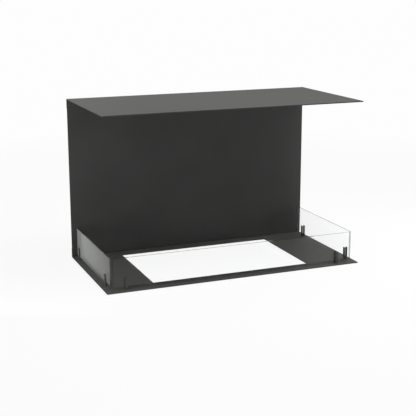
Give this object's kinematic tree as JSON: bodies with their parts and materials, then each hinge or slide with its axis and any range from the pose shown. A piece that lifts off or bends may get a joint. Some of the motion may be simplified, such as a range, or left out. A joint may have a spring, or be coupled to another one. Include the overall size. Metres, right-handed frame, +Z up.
{
  "type": "water vapour fireplace",
  "caption": "Sheet-steel fireplace casing, open at the front and both sides, with a low glass screen in forked clips and a floor cut-out for a drop-in water vapour burner.",
  "frame": {"origin": "on the resting surface, under the middle of the whole object's box", "axes": "+Z up, the open front faces -Y, +X to the right as seen from the front"},
  "size_m": [0.8, 0.4, 0.5],
  "materials": {
    "coated_sheet": "fine-textured matt anthracite powder coat",
    "clear_glass": "clear toughened glass with ground edges",
    "clip_metal": "matt dark coat",
    "liner_rubber": "soft matt black",
    "fastener_steel": "bright zinc"
  },
  "bodies": {
    "casing": {"base_plate": "coated_sheet", "back_panel": "coated_sheet", "top_plate": "coated_sheet", "front_left_clip": "clip_metal", "front_right_clip": "clip_metal", "left_front_clip": "clip_metal", "left_rear_clip": "clip_metal", "right_front_clip": "clip_metal", "right_rear_clip": "clip_metal", "front_left_liner": "liner_rubber", "front_right_liner": "liner_rubber", "left_front_liner": "liner_rubber", "left_rear_liner": "liner_rubber", "right_front_liner": "liner_rubber", "right_rear_liner": "liner_rubber", "clip_screws": "fastener_steel", "lower_back_studs": "fastener_steel", "lower_back_nuts": "fastener_steel", "upper_back_studs": "fastener_steel", "upper_back_nuts": "fastener_steel"},
    "left_pane": {"left_glass": "clear_glass"},
    "front_pane": {"front_glass": "clear_glass"},
    "right_pane": {"right_glass": "clear_glass"}
  },
  "joints": [
    {"name": "left_glass_lift", "type": "slide", "parent": "casing", "child": "left_pane", "axis": [0, 0, 1], "range_m": [0, 0.032]},
    {"name": "front_glass_lift", "type": "slide", "parent": "casing", "child": "front_pane", "axis": [0, 0, 1], "range_m": [0, 0.032]},
    {"name": "right_glass_lift", "type": "slide", "parent": "casing", "child": "right_pane", "axis": [0, 0, 1], "range_m": [0, 0.032]}
  ]
}
